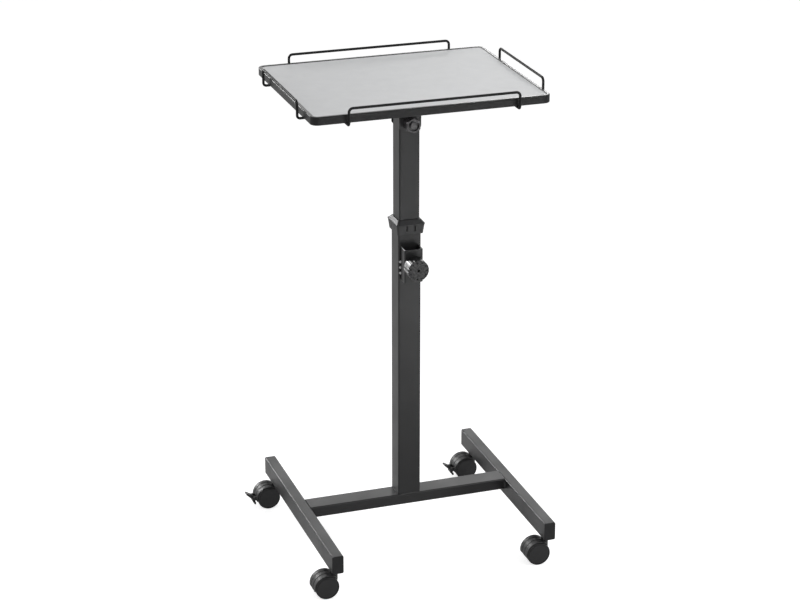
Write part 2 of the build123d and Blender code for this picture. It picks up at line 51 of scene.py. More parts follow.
def add_node(tree, kind, settings={}, values={}, links={}):
    """Add one node with its settings, its input values, and its links as input: (node, output)."""
    made = tree.nodes.new(kind)
    for name, value in settings.items():
        setattr(made, name, value)
    for name, value in values.items():
        made.inputs[name].default_value = value
    for name, (source, output) in links.items():
        tree.links.new(source.outputs[output], made.inputs[name])
    return made


def new_finish(name, **even):
    """Start a material, with the values that are the same all over set on its shader."""
    finish = bpy.data.materials.new(name)
    finish.use_nodes = True
    shader = finish.node_tree.nodes["Principled BSDF"]
    for socket, value in even.items():
        shader.inputs[socket.replace("_", " ")].default_value = value
    return finish, finish.node_tree, shader


def feed(tree, shader, socket, source, output=0):
    """Link a node to one of the shader's sockets."""
    tree.links.new(source.outputs[output], shader.inputs[socket])


def dress(finish, *names):
    """Give CAD pieces a finish."""
    for name in names:
        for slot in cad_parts[name].material_slots:
            slot.material = finish


def new_piece(name, shape, finish, body):
    """Turn a shape's faces outwards and stand it in the scene as a piece that moves with a body."""
    bmesh.ops.recalc_face_normals(shape, faces=shape.faces)
    mesh = bpy.data.meshes.new(name)
    shape.to_mesh(mesh)
    shape.free()
    mesh.materials.append(finish)
    piece = bpy.data.objects.new(name, mesh)
    bpy.context.scene.collection.objects.link(piece)
    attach(piece, body)


# Powder coat: thermoset polyester baked on steel. It gives the eye a soft, even sheen with a faint orange
# peel and a little polish where hands rub it. Over sharp edges its colour is painted paler, partly for the
# film thinning there and partly as a painted highlight.
coat_black = "#1a1a1b"
thin_coat_and_painted_highlight = "#39393b"
coat_ior = 1.43
coat_smooth, coat_rough = 0.33, 0.43
coat_edge = 0.7 * mm
peel_width = 3.0 * mm               # real peel is about 1.5 mm, drawn coarser so that it shows
peel_depth = 0.04 * mm
rubbed_patch_width = 80.0 * mm
first_colour, second_colour, mixed = 6, 7, 2    # places of a colour mix's two inputs and of its result
coat, tree, shader = new_finish("satin_black_powder_coat", IOR=coat_ior)
where = add_node(tree, "ShaderNodeTexCoord")
peel = add_node(tree, "ShaderNodeTexNoise", values={"Scale": 1 / peel_width, "Detail": 2.0},
                links={"Vector": (where, "Object")})
rubbing = add_node(tree, "ShaderNodeTexNoise", values={"Scale": 1 / rubbed_patch_width, "Detail": 3.0},
                   links={"Vector": (where, "Object")})
sheen = add_node(tree, "ShaderNodeMapRange", links={"Value": (rubbing, 0)},
                 values={"From Min": 0.3, "From Max": 0.7, "To Min": coat_smooth, "To Max": coat_rough})
soft_edge = add_node(tree, "ShaderNodeBevel", settings={"samples": 4}, values={"Radius": coat_edge})
surface = add_node(tree, "ShaderNodeNewGeometry")
flatness = add_node(tree, "ShaderNodeVectorMath", settings={"operation": "DOT_PRODUCT"},
                    links={0: (soft_edge, 0), 1: (surface, "Normal")})
# Sharp edges get a paler colour: partly the thin film there, partly a painted highlight.
thinning_and_painted_highlight = add_node(tree, "ShaderNodeMapRange", values={"From Min": 0.99, "From Max": 0.85},
                    links={"Value": (flatness, "Value")})
tone = add_node(tree, "ShaderNodeMix", settings={"data_type": "RGBA"}, links={0: (thinning_and_painted_highlight, 0)},
                values={first_colour: linear(coat_black), second_colour: linear(thin_coat_and_painted_highlight)})
relief = add_node(tree, "ShaderNodeBump", values={"Strength": 0.25, "Distance": peel_depth},
                  links={"Height": (peel, 0), "Normal": (soft_edge, 0)})
feed(tree, shader, "Base Color", tone, mixed)
feed(tree, shader, "Roughness", sheen)
feed(tree, shader, "Normal", relief)
dress(coat, "left_rail", "right_rail", "cross_bar")


def lay_bead(name, start, end, face_a, face_b, leg, finish=coat):
    """Lay a rippled fillet weld from start to end, in the corner of two faces with those outward normals."""
    ripple_pitch = 1.9 * mm
    ripple_depth = 0.16             # share of the leg by which each ripple falls away
    steps_per_ripple = 5
    end_size = 0.35                 # share of the leg at which the bead starts and stops
    hollow, crown = 0.55, 0.45      # shares of a hollow and of a crowned arc, for a nearly flat face
    arc_steps = 6
    sunk = 0.3 * mm                 # how far the bead's root and toes reach into the steel
    start, end = Vector(start), Vector(end)
    out_a, out_b = Vector(face_a), Vector(face_b)
    run = end - start
    steps = max(2, round(run.length / ripple_pitch)) * steps_per_ripple
    shape = bmesh.new()
    rings = []
    for i in range(steps + 1):
        fall = (i % steps_per_ripple) / steps_per_ripple
        taper = min(1.0, end_size + (1 - end_size) * min(i, steps - i) / steps_per_ripple)
        size = leg * taper * (1 - ripple_depth + ripple_depth * math.sqrt(1 - fall))
        at = start + run * (i / steps)
        ring = [shape.verts.new(at - out_a * sunk - out_b * sunk)]
        for k in range(arc_steps + 1):
            turn = k / arc_steps * math.pi / 2
            along_a = (1 - math.sin(turn)) * hollow + crown * math.cos(turn)
            along_b = (1 - math.cos(turn)) * hollow + crown * math.sin(turn)
            ring.append(shape.verts.new(at + out_a * (size * along_a) + out_b * (size * along_b)))
        ring[1].co -= out_b * sunk
        ring[-1].co -= out_a * sunk
        rings.append(ring)
    for before, after in zip(rings, rings[1:]):
        for k in range(len(before)):
            shape.faces.new((before[k], before[k - 1], after[k - 1], after[k]))
    shape.faces.new(rings[0])
    shape.faces.new(reversed(rings[-1]))
    for face in shape.faces:
        face.smooth = len(face.verts) == 4
    new_piece(name, shape, finish, "base")


bar_low, bar_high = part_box("cross_bar")
bar_corner = 4.0 * mm
bar_bead = 3.2 * mm
for side, x, inward in (("left", bar_low.x, 1), ("right", bar_high.x, -1)):
    for end, y, out in (("front", bar_low.y, -1), ("back", bar_high.y, 1)):
        lay_bead(f"{side}_{end}_bar_weld", (x, y, bar_low.z + bar_corner), (x, y, bar_high.z - bar_corner),
                 (inward, 0, 0), (0, out, 0), bar_bead)
    bead_front, bead_back = bar_low.y + bar_corner, bar_high.y - bar_corner
    lay_bead(f"{side}_under_bar_weld", (x, bead_front, bar_low.z), (x, bead_back, bar_low.z),
             (inward, 0, 0), (0, 0, -1), bar_bead)

# The rail ends are closed by push-in plugs of low-density polyethylene, moulded with a softly rounded face.
# The plug is soft and waxy, so it looks duller than the coated tube that it sits in.
plug_black = "#0e0e0f"
plug_scuffed = "#1c1c1d"
plug_smooth, plug_rough = 0.46, 0.6
plug_grain = 1.6 * mm               # spark-eroded grain is about 0.3 mm, drawn coarser so that it shows
plug_grain_depth = 0.05 * mm
plug_scuff_width = 14.0 * mm
plug, tree, shader = new_finish("moulded_black_polyethylene", IOR=1.51, Specular_IOR_Level=0.3)
where = add_node(tree, "ShaderNodeTexCoord")
grain = add_node(tree, "ShaderNodeTexNoise", values={"Scale": 1 / plug_grain, "Detail": 3.0},
                 links={"Vector": (where, "Object")})
scuff = add_node(tree, "ShaderNodeTexNoise", values={"Scale": 1 / plug_scuff_width, "Detail": 4.0},
                 links={"Vector": (where, "Object")})
wax = add_node(tree, "ShaderNodeMapRange", links={"Value": (scuff, 0)},
               values={"From Min": 0.35, "From Max": 0.7, "To Min": plug_smooth, "To Max": plug_rough})
tone = add_node(tree, "ShaderNodeMix", settings={"data_type": "RGBA"}, links={0: (scuff, 0)},
                values={first_colour: linear(plug_black), second_colour: linear(plug_scuffed)})
relief = add_node(tree, "ShaderNodeBump", values={"Strength": 0.4, "Distance": plug_grain_depth},
                  links={"Height": (grain, 0)})
feed(tree, shader, "Base Color", tone, mixed)
feed(tree, shader, "Roughness", wax)
feed(tree, shader, "Normal", relief)
ends = [(end, side) for end in ("front", "back") for side in ("left", "right")]
dress(plug, *[f"{side}_rail_{end}_cap" for end, side in ends])

# Each caster hangs on a zinc-plated steel pintle pressed through the rail, and its two wheels share a plated
# axle. Zinc plate gives the eye a cool, pale metal with a cloudy passivated film.
zinc_pale = "#b9bdc0"
zinc_dull = "#8d9194"
zinc_smooth, zinc_rough = 0.25, 0.45
zinc_cloud_width = 5.0 * mm
zinc, tree, shader = new_finish("zinc_plated_steel", Metallic=1.0)
where = add_node(tree, "ShaderNodeTexCoord")
cloud = add_node(tree, "ShaderNodeTexNoise", values={"Scale": 1 / zinc_cloud_width, "Detail": 5.0},
                 links={"Vector": (where, "Object")})
tone = add_node(tree, "ShaderNodeMix", settings={"data_type": "RGBA"}, links={0: (cloud, 0)},
                values={first_colour: linear(zinc_pale), second_colour: linear(zinc_dull)})
film = add_node(tree, "ShaderNodeMapRange", values={"To Min": zinc_smooth, "To Max": zinc_rough},
                links={"Value": (cloud, 0)})
feed(tree, shader, "Base Color", tone, mixed)
feed(tree, shader, "Roughness", film)
corners = [f"{end}_{side}" for end, side in ends]
dress(zinc, *[f"{corner}_caster_{pin}" for corner in corners for pin in ("pintle", "axle")])

# The caster hoods are one moulding of glass-filled nylon: hood, web and pintle boss together.
# The fibres leave the skin slightly cloudy and give it a broad, soft highlight.
nylon_black = "#151516"
nylon_cloudy = "#1f1f20"
nylon_smooth, nylon_rough = 0.43, 0.52
nylon_edge = 0.5 * mm
nylon_grain = 1.4 * mm              # real grain is about 0.3 mm, drawn coarser so that it shows
nylon_grain_depth = 0.015 * mm
nylon_cloud_width = 9.0 * mm
nylon, tree, shader = new_finish("glass_filled_black_nylon", IOR=1.53)
where = add_node(tree, "ShaderNodeTexCoord")
grain = add_node(tree, "ShaderNodeTexNoise", values={"Scale": 1 / nylon_grain, "Detail": 2.0},
                 links={"Vector": (where, "Object")})
cloud = add_node(tree, "ShaderNodeTexNoise", values={"Scale": 1 / nylon_cloud_width, "Detail": 4.0},
                 links={"Vector": (where, "Object")})
tone = add_node(tree, "ShaderNodeMix", settings={"data_type": "RGBA"}, links={0: (cloud, 0)},
                values={first_colour: linear(nylon_black), second_colour: linear(nylon_cloudy)})
skin = add_node(tree, "ShaderNodeMapRange", values={"To Min": nylon_smooth, "To Max": nylon_rough},
                links={"Value": (cloud, 0)})
soft_edge = add_node(tree, "ShaderNodeBevel", settings={"samples": 4}, values={"Radius": nylon_edge})
relief = add_node(tree, "ShaderNodeBump", values={"Strength": 0.1, "Distance": nylon_grain_depth},
                  links={"Height": (grain, 0), "Normal": (soft_edge, 0)})
feed(tree, shader, "Base Color", tone, mixed)
feed(tree, shader, "Roughness", skin)
feed(tree, shader, "Normal", relief)
dress(nylon, *[f"{corner}_caster_hood" for corner in corners])

# The twin wheels are solid polypropylene discs with a domed face and a rounded tread.
# The face is smooth and shiny, and the tread is dulled and dusty from the floor.
wheel_black = "#1e1e1f"
tread_dusty = "#343433"
face_smooth, tread_rough = 0.27, 0.75
dust_width = 2.5 * mm
dust_depth = 0.04 * mm
tread_starts, tread_full = 0.478, 0.499     # distance from the axle, as a share of the wheel's own box
box_middle = (0.5, 0.5, 0.5)
across_axle = (1, 0, 1)             # leaves out the direction along the axle
wheel, tree, shader = new_finish("moulded_black_polypropylene", IOR=1.49, Specular_IOR_Level=0.4)
where = add_node(tree, "ShaderNodeTexCoord")
from_axle = add_node(tree, "ShaderNodeVectorMath", settings={"operation": "SUBTRACT"},
                     values={1: box_middle}, links={0: (where, "Generated")})
across = add_node(tree, "ShaderNodeVectorMath", settings={"operation": "MULTIPLY"},
                  values={1: across_axle}, links={0: (from_axle, 0)})
reach = add_node(tree, "ShaderNodeVectorMath", settings={"operation": "LENGTH"}, links={0: (across, 0)})
dust = add_node(tree, "ShaderNodeTexNoise", values={"Scale": 1 / dust_width, "Detail": 4.0},
                links={"Vector": (where, "Object")})
tread = add_node(tree, "ShaderNodeMapRange", values={"From Min": tread_starts, "From Max": tread_full},
                 links={"Value": (reach, "Value")})
worn = add_node(tree, "ShaderNodeMath", settings={"operation": "MULTIPLY"},
                links={0: (tread, 0), 1: (dust, 0)})
tone = add_node(tree, "ShaderNodeMix", settings={"data_type": "RGBA"}, links={0: (worn, 0)},
                values={first_colour: linear(wheel_black), second_colour: linear(tread_dusty)})
shine = add_node(tree, "ShaderNodeMapRange", values={"To Min": face_smooth, "To Max": tread_rough},
                 links={"Value": (worn, 0)})
relief = add_node(tree, "ShaderNodeBump", values={"Strength": 0.25, "Distance": dust_depth},
                  links={"Height": (dust, 0)})
feed(tree, shader, "Base Color", tone, mixed)
feed(tree, shader, "Roughness", shine)
feed(tree, shader, "Normal", relief)
dress(wheel, *[f"{corner}_caster_{place}_wheel" for corner in corners for place in ("near", "far")])

# Each caster at the back has a brake pedal on a cross pin, moulded in the same nylon as the hoods.
# Three moulded ribs across its tongue keep the toe from slipping.
dress(nylon, "back_left_brake_pedal", "back_right_brake_pedal")
tongue_reach = 16.0 * mm            # from the tongue's end back to its root
tongue_rise = 11.0 * mm             # from the axle up to the tip
root_radius, tip_radius = 3.6 * mm, 1.6 * mm
rib_radius = 0.8 * mm
rib_half_length = 5.4 * mm
rib_segments = 12
rib_places = (0.38, 0.62, 0.86)     # shares of the way from root to tip
for side in ("left", "right"):
    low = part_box(f"back_{side}_brake_pedal")[0]
    axle_low, axle_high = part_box(f"back_{side}_caster_axle")
    axle = (axle_low + axle_high) / 2
    root = Vector((low.x + tongue_reach, axle.y, axle.z))
    tip = Vector((low.x + tip_radius, axle.y, axle.z + tongue_rise))
    slope = (tip - root).normalized()
    upward = Vector((slope.z, 0, -slope.x))
    lean = (root_radius - tip_radius) / (tip - root).length
    top = slope * lean + upward * math.sqrt(1 - lean * lean)
    shape = bmesh.new()
    for share in rib_places:
        middle = (root + top * root_radius).lerp(tip + top * tip_radius, share)
        made = bmesh.ops.create_uvsphere(shape, u_segments=rib_segments, v_segments=rib_segments,
                                         radius=rib_radius)
        for vert in made["verts"]:
            end = rib_half_length - rib_radius if vert.co.z > 0 else rib_radius - rib_half_length
            vert.co = middle + Vector((vert.co.x, vert.co.z + end, vert.co.y))
    for face in shape.faces:
        face.smooth = True
    new_piece(f"{side}_pedal_ribs", shape, nylon, f"back_{side}_brake")

# The lower mast is a rectangular steel tube that stands on the cross bar, welded along the front and back
# of its foot and coated together with the base.
dress(coat, "lower_mast")
mast_low, mast_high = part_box("lower_mast")
foot_corner = 3.5 * mm
foot_bead = 1.7 * mm
foot_left, foot_right = mast_low.x + foot_corner, mast_high.x - foot_corner
for end, y, out in (("front", mast_low.y, -1), ("back", mast_high.y, 1)):
    lay_bead(f"{end}_mast_weld", (foot_left, y, mast_low.z), (foot_right, y, mast_low.z),
             (0, out, 0), (0, 0, 1), foot_bead)

# The clamp saddle is a channel bent from 2.5 mm steel sheet. Short stitch welds tack its walls to the mast
# across a narrow gap, and hands that reach for the knob have rubbed the top of its left wall bare.
saddle_low, saddle_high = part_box("clamp_saddle")
# Rubbed powder coat: the finish of the base, worn through to the steel along the top of that wall.
# It gives the eye a thin bright line over the satin black.
bare_steel = "#c9cbcc"
rubbed_depth = 0.15 * mm            # below the saddle's top
rubbed_width = 4.0 * mm             # in from the saddle's left side
saddle_edge = 0.5 * mm
saddle_peel_depth = 0.06 * mm
rubbed, tree, shader = new_finish("powder_coat_rubbed_to_steel", IOR=coat_ior)
where = add_node(tree, "ShaderNodeTexCoord")
place = add_node(tree, "ShaderNodeSeparateXYZ", links={0: (where, "Object")})
peel = add_node(tree, "ShaderNodeTexNoise", values={"Scale": 1 / peel_width, "Detail": 2.0},
                links={"Vector": (where, "Object")})
soft_edge = add_node(tree, "ShaderNodeBevel", settings={"samples": 4}, values={"Radius": saddle_edge})
surface = add_node(tree, "ShaderNodeNewGeometry")
flatness = add_node(tree, "ShaderNodeVectorMath", settings={"operation": "DOT_PRODUCT"},
                    links={0: (soft_edge, 0), 1: (surface, "Normal")})
# As on the base, sharp edges get a paler colour: partly the thin film, partly a painted highlight.
thinning_and_painted_highlight = add_node(tree, "ShaderNodeMapRange", values={"From Min": 0.99, "From Max": 0.85},
                    links={"Value": (flatness, "Value")})
on_top = add_node(tree, "ShaderNodeMath", settings={"operation": "GREATER_THAN"},
                  values={1: saddle_high.z - rubbed_depth}, links={0: (place, "Z")})
on_left_wall = add_node(tree, "ShaderNodeMath", settings={"operation": "LESS_THAN"},
                        values={1: saddle_low.x + rubbed_width}, links={0: (place, "X")})
bare = add_node(tree, "ShaderNodeMath", settings={"operation": "MULTIPLY"},
                links={0: (on_top, 0), 1: (on_left_wall, 0)})
tone = add_node(tree, "ShaderNodeMix", settings={"data_type": "RGBA"}, links={0: (thinning_and_painted_highlight, 0)},
                values={first_colour: linear(coat_black), second_colour: linear(thin_coat_and_painted_highlight)})
steel_tone = add_node(tree, "ShaderNodeMix", settings={"data_type": "RGBA"},
                      values={second_colour: linear(bare_steel)},
                      links={0: (bare, 0), first_colour: (tone, mixed)})
relief = add_node(tree, "ShaderNodeBump", values={"Strength": 0.35, "Distance": saddle_peel_depth},
                  links={"Height": (peel, 0), "Normal": (soft_edge, 0)})
sheen = add_node(tree, "ShaderNodeMapRange", links={"Value": (peel, 0)},
                 values={"From Min": 0.3, "From Max": 0.7, "To Min": coat_smooth, "To Max": coat_rough})
feed(tree, shader, "Base Color", steel_tone, mixed)
feed(tree, shader, "Metallic", bare)
feed(tree, shader, "Roughness", sheen)
feed(tree, shader, "Normal", relief)
dress(rubbed, "clamp_saddle")
# Weld metal: steel that melted and froze in ripples, laid after coating and left bare.
# It gives the eye bright dots.
weld_bright = "#d2d3d3"
weld_scaled = "#77787a"
weld_smooth, weld_rough = 0.25, 0.5
weld_scale_width = 2.0 * mm
bare_weld, tree, shader = new_finish("bare_weld_steel", Metallic=1.0)
where = add_node(tree, "ShaderNodeTexCoord")
scale = add_node(tree, "ShaderNodeTexNoise", values={"Scale": 1 / weld_scale_width, "Detail": 3.0},
                 links={"Vector": (where, "Object")})
tone = add_node(tree, "ShaderNodeMix", settings={"data_type": "RGBA"}, links={0: (scale, 0)},
                values={first_colour: linear(weld_bright), second_colour: linear(weld_scaled)})
shine = add_node(tree, "ShaderNodeMapRange", values={"To Min": weld_smooth, "To Max": weld_rough},
                 links={"Value": (scale, 0)})
feed(tree, shader, "Base Color", tone, mixed)
feed(tree, shader, "Roughness", shine)
stitch_drops = (30.0 * mm, 42.0 * mm, 54.0 * mm)    # below the saddle's top
stitch_length = 6.0 * mm
stitch_bead = 3.4 * mm
for side, x, out in (("left", saddle_low.x, -1), ("right", saddle_high.x, 1)):
    for n, drop in enumerate(stitch_drops):
        top = saddle_high.z - drop
        lay_bead(f"{side}_saddle_stitch_{n + 1}", (x, saddle_high.y, top),
                 (x, saddle_high.y, top - stitch_length), (out, 0, 0), (0, -1, 0), stitch_bead, bare_weld)

# A hexagon weld nut of mild steel carries the clamp screw. It is welded to the inside of the saddle's front
# wall, over the screw's hole, and was coated together with the saddle.
saddle_sheet = 2.5 * mm
nut_half_width = 8.5 * mm
nut_half_corner = 1.155 * nut_half_width    # a hexagon's corners stand out by this much more than its flats
nut_thickness = 8.0 * mm
nut_bore = 5.2 * mm
nut_chamfer = 1.0 * mm
nut_sides = 48
sixth_turn = math.pi / 3
saddle_x = (saddle_low.x + saddle_high.x) / 2
saddle_z = (saddle_low.z + saddle_high.z) / 2
nut_seat = Vector((saddle_x, saddle_low.y + saddle_sheet, saddle_z))
turns = [2 * math.pi * k / nut_sides for k in range(nut_sides)]
shape = bmesh.new()
rings = []
for depth, shave in ((0, nut_chamfer), (nut_chamfer, 0),
                     (nut_thickness - nut_chamfer, 0), (nut_thickness, nut_chamfer)):
    ring = []
    for turn in turns:
        off_flat = (turn + sixth_turn / 2) % sixth_turn - sixth_turn / 2
        reach = min(nut_half_width / math.cos(off_flat), nut_half_corner - shave)
        point = Vector((reach * math.cos(turn), depth, reach * math.sin(turn)))
        ring.append(shape.verts.new(nut_seat + point))
    rings.append(ring)
for depth in (nut_thickness, 0):
    bore = [Vector((nut_bore * math.cos(turn), depth, nut_bore * math.sin(turn))) for turn in turns]
    rings.append([shape.verts.new(nut_seat + point) for point in bore])
for before, after in zip(rings, rings[1:] + rings[:1]):
    for k in range(nut_sides):
        shape.faces.new((before[k - 1], before[k], after[k], after[k - 1]))
new_piece("clamp_weld_nut", shape, coat, "base")

# The clamp knob is a fluted nylon moulding on a screw. It is moulded in a polished tool, so its side is
# glossy, and years of turning have kept the flutes bright.
knob_black = "#111112"
knob_worn = "#1c1c1d"
knob_smooth, knob_rough = 0.22, 0.27
knob_edge = 0.4 * mm
knob_wear_width = 8.0 * mm
glossy_nylon, tree, shader = new_finish("polished_black_nylon", IOR=1.53, Specular_IOR_Level=0.28)
where = add_node(tree, "ShaderNodeTexCoord")
wear = add_node(tree, "ShaderNodeTexNoise", values={"Scale": 1 / knob_wear_width, "Detail": 4.0},
                links={"Vector": (where, "Object")})
tone = add_node(tree, "ShaderNodeMix", settings={"data_type": "RGBA"}, links={0: (wear, 0)},
                values={first_colour: linear(knob_black), second_colour: linear(knob_worn)})
shine = add_node(tree, "ShaderNodeMapRange", values={"To Min": knob_smooth, "To Max": knob_rough},
                 links={"Value": (wear, 0)})
soft_edge = add_node(tree, "ShaderNodeBevel", settings={"samples": 4}, values={"Radius": knob_edge})
feed(tree, shader, "Base Color", tone, mixed)
feed(tree, shader, "Roughness", shine)
feed(tree, shader, "Normal", soft_edge)
dress(glossy_nylon, "clamp_knob")

# The collar is a polypropylene moulding pushed over the mast's mouth, with windows that let its walls spring
# and a sloping lip that guides the upper tube. It is moulded against a blasted tool, which leaves it matt
# and gives the eye a soft black with a dull, broad highlight.
collar_black = "#161617"
collar_chalky = "#2a2a2b"
collar_smooth, collar_rough = 0.42, 0.55
collar_edge = 0.4 * mm
collar_grain = 1.8 * mm             # blasted grain is about 0.2 mm, drawn coarser so that it shows
collar_grain_depth = 0.06 * mm
matt_collar, tree, shader = new_finish("blasted_black_polypropylene", IOR=1.49, Specular_IOR_Level=0.48)
where = add_node(tree, "ShaderNodeTexCoord")
grain = add_node(tree, "ShaderNodeTexNoise", values={"Scale": 1 / collar_grain, "Detail": 3.0},
                 links={"Vector": (where, "Object")})
tone = add_node(tree, "ShaderNodeMix", settings={"data_type": "RGBA"}, links={0: (grain, 0)},
                values={first_colour: linear(collar_black), second_colour: linear(collar_chalky)})
dullness = add_node(tree, "ShaderNodeMapRange", values={"To Min": collar_smooth, "To Max": collar_rough},
                    links={"Value": (grain, 0)})
soft_edge = add_node(tree, "ShaderNodeBevel", settings={"samples": 4}, values={"Radius": collar_edge})
relief = add_node(tree, "ShaderNodeBump", values={"Strength": 0.3, "Distance": collar_grain_depth},
                  links={"Height": (grain, 0), "Normal": (soft_edge, 0)})
feed(tree, shader, "Base Color", tone, mixed)
feed(tree, shader, "Roughness", dullness)
feed(tree, shader, "Normal", relief)
dress(matt_collar, "mast_collar")

# The upper mast is a lighter tube that slides in the lower one. The tilt bracket is bent and welded sheet
# steel that straddles its top, held by a zinc-plated bolt with a nylon knob.
dress(coat, "upper_mast", "tray_bracket")
dress(zinc, "tilt_bolt")
# Charcoal nylon: unfilled, and moulded in a smooth tool.
# It gives the eye a greyer face with small bright glints.
knob_charcoal = "#302e30"
knob_rubbed = "#3c3a3c"
charcoal_smooth, charcoal_rough = 0.2, 0.28
charcoal_wear_width = 6.0 * mm
charcoal_nylon, tree, shader = new_finish("smooth_charcoal_nylon", IOR=1.53)
where = add_node(tree, "ShaderNodeTexCoord")
wear = add_node(tree, "ShaderNodeTexNoise", values={"Scale": 1 / charcoal_wear_width, "Detail": 3.0},
                links={"Vector": (where, "Object")})
tone = add_node(tree, "ShaderNodeMix", settings={"data_type": "RGBA"}, links={0: (wear, 0)},
                values={first_colour: linear(knob_charcoal), second_colour: linear(knob_rubbed)})
shine = add_node(tree, "ShaderNodeMapRange", values={"To Min": charcoal_smooth, "To Max": charcoal_rough},
                 links={"Value": (wear, 0)})
soft_edge = add_node(tree, "ShaderNodeBevel", settings={"samples": 4}, values={"Radius": knob_edge})
feed(tree, shader, "Base Color", tone, mixed)
feed(tree, shader, "Roughness", shine)
feed(tree, shader, "Normal", soft_edge)
dress(charcoal_nylon, "tilt_knob")

# The tray is particle board faced with pale grey melamine laminate, pressed against a finely pebbled plate.
# It gives the eye a clean, even face with a faint mottle and a low sheen.
laminate_pale = "#d2d3d4"
laminate_mottle = "#c9cacb"
laminate_smooth, laminate_rough = 0.54, 0.66
mottle_width = 25.0 * mm
pebble_width = 2.2 * mm             # the real pebble is about 0.4 mm, drawn coarser so that it shows
pebble_depth = 0.03 * mm
laminate, tree, shader = new_finish("pale_grey_melamine_laminate", IOR=1.5, Specular_IOR_Level=0.3)
where = add_node(tree, "ShaderNodeTexCoord")
mottle = add_node(tree, "ShaderNodeTexNoise", links={"Vector": (where, "Object")},
                  values={"Scale": 1 / mottle_width, "Detail": 6.0, "Roughness": 0.6})
pebble = add_node(tree, "ShaderNodeTexNoise", values={"Scale": 1 / pebble_width, "Detail": 1.0},
                  links={"Vector": (where, "Object")})
tone = add_node(tree, "ShaderNodeMix", settings={"data_type": "RGBA"}, links={0: (mottle, 0)},
                values={first_colour: linear(laminate_pale), second_colour: linear(laminate_mottle)})
gloss = add_node(tree, "ShaderNodeMapRange", values={"To Min": laminate_smooth, "To Max": laminate_rough},
                 links={"Value": (mottle, 0)})
relief = add_node(tree, "ShaderNodeBump", values={"Strength": 0.3, "Distance": pebble_depth},
                  links={"Height": (pebble, 0)})
feed(tree, shader, "Base Color", tone, mixed)
feed(tree, shader, "Roughness", gloss)
feed(tree, shader, "Normal", relief)
dress(laminate, "tray_board")

# The edging is a black PVC strip, extruded with a lip and sprung round the board.
# The die leaves fine streaks along it, so it reads as drawn lines with a soft sheen.
edging_black = "#09090a"
edging_streak = "#121213"
edging_smooth, edging_rough = 0.35, 0.42
edging_edge = 1.4 * mm
streak_height = 1.6 * mm            # die lines are about 0.4 mm apart, drawn coarser so that they show
streak_length = 300.0 * mm
streak_depth = 0.015 * mm
edging, tree, shader = new_finish("extruded_black_pvc", IOR=1.53, Specular_IOR_Level=0.3)
where = add_node(tree, "ShaderNodeTexCoord")
drawn = add_node(tree, "ShaderNodeMapping", links={"Vector": (where, "Object")},
                 values={"Scale": (1 / streak_length, 1 / streak_length, 1 / streak_height)})
streak = add_node(tree, "ShaderNodeTexNoise", values={"Scale": 1.0, "Detail": 1.0},
                  links={"Vector": (drawn, 0)})
tone = add_node(tree, "ShaderNodeMix", settings={"data_type": "RGBA"}, links={0: (streak, 0)},
                values={first_colour: linear(edging_black), second_colour: linear(edging_streak)})
gloss = add_node(tree, "ShaderNodeMapRange", values={"To Min": edging_smooth, "To Max": edging_rough},
                 links={"Value": (streak, 0)})
soft_edge = add_node(tree, "ShaderNodeBevel", settings={"samples": 4}, values={"Radius": edging_edge})
relief = add_node(tree, "ShaderNodeBump", values={"Strength": 0.2, "Distance": streak_depth},
                  links={"Height": (streak, 0), "Normal": (soft_edge, 0)})
feed(tree, shader, "Base Color", tone, mixed)
feed(tree, shader, "Roughness", gloss)
feed(tree, shader, "Normal", relief)
dress(edging, "tray_edging")

# The guards are bent from 5 mm steel wire, dipped in soft black PVC, and screwed under the board by their
# eyelets. The dipped skin is matt and slightly lumpy, so the wire stays nearly black with few highlights.
wire_black = "#070708"
wire_thin = "#101011"
dip_smooth, dip_rough = 0.5, 0.65
dip_lump_width = 12.0 * mm
dip_lump_depth = 0.1 * mm
dip, tree, shader = new_finish("matt_black_pvc_dip", IOR=1.53, Specular_IOR_Level=0.2)
where = add_node(tree, "ShaderNodeTexCoord")
flow = add_node(tree, "ShaderNodeTexNoise", values={"Scale": 1 / dip_lump_width, "Detail": 3.0},
                links={"Vector": (where, "Object")})
tone = add_node(tree, "ShaderNodeMix", settings={"data_type": "RGBA"}, links={0: (flow, 0)},
                values={first_colour: linear(wire_black), second_colour: linear(wire_thin)})
gloss = add_node(tree, "ShaderNodeMapRange", values={"To Min": dip_smooth, "To Max": dip_rough},
                 links={"Value": (flow, 0)})
relief = add_node(tree, "ShaderNodeBump", values={"Strength": 0.3, "Distance": dip_lump_depth},
                  links={"Height": (flow, 0)})
feed(tree, shader, "Base Color", tone, mixed)
feed(tree, shader, "Roughness", gloss)
feed(tree, shader, "Normal", relief)
dress(dip, "front_guard", "back_guard", "left_guard", "right_guard")


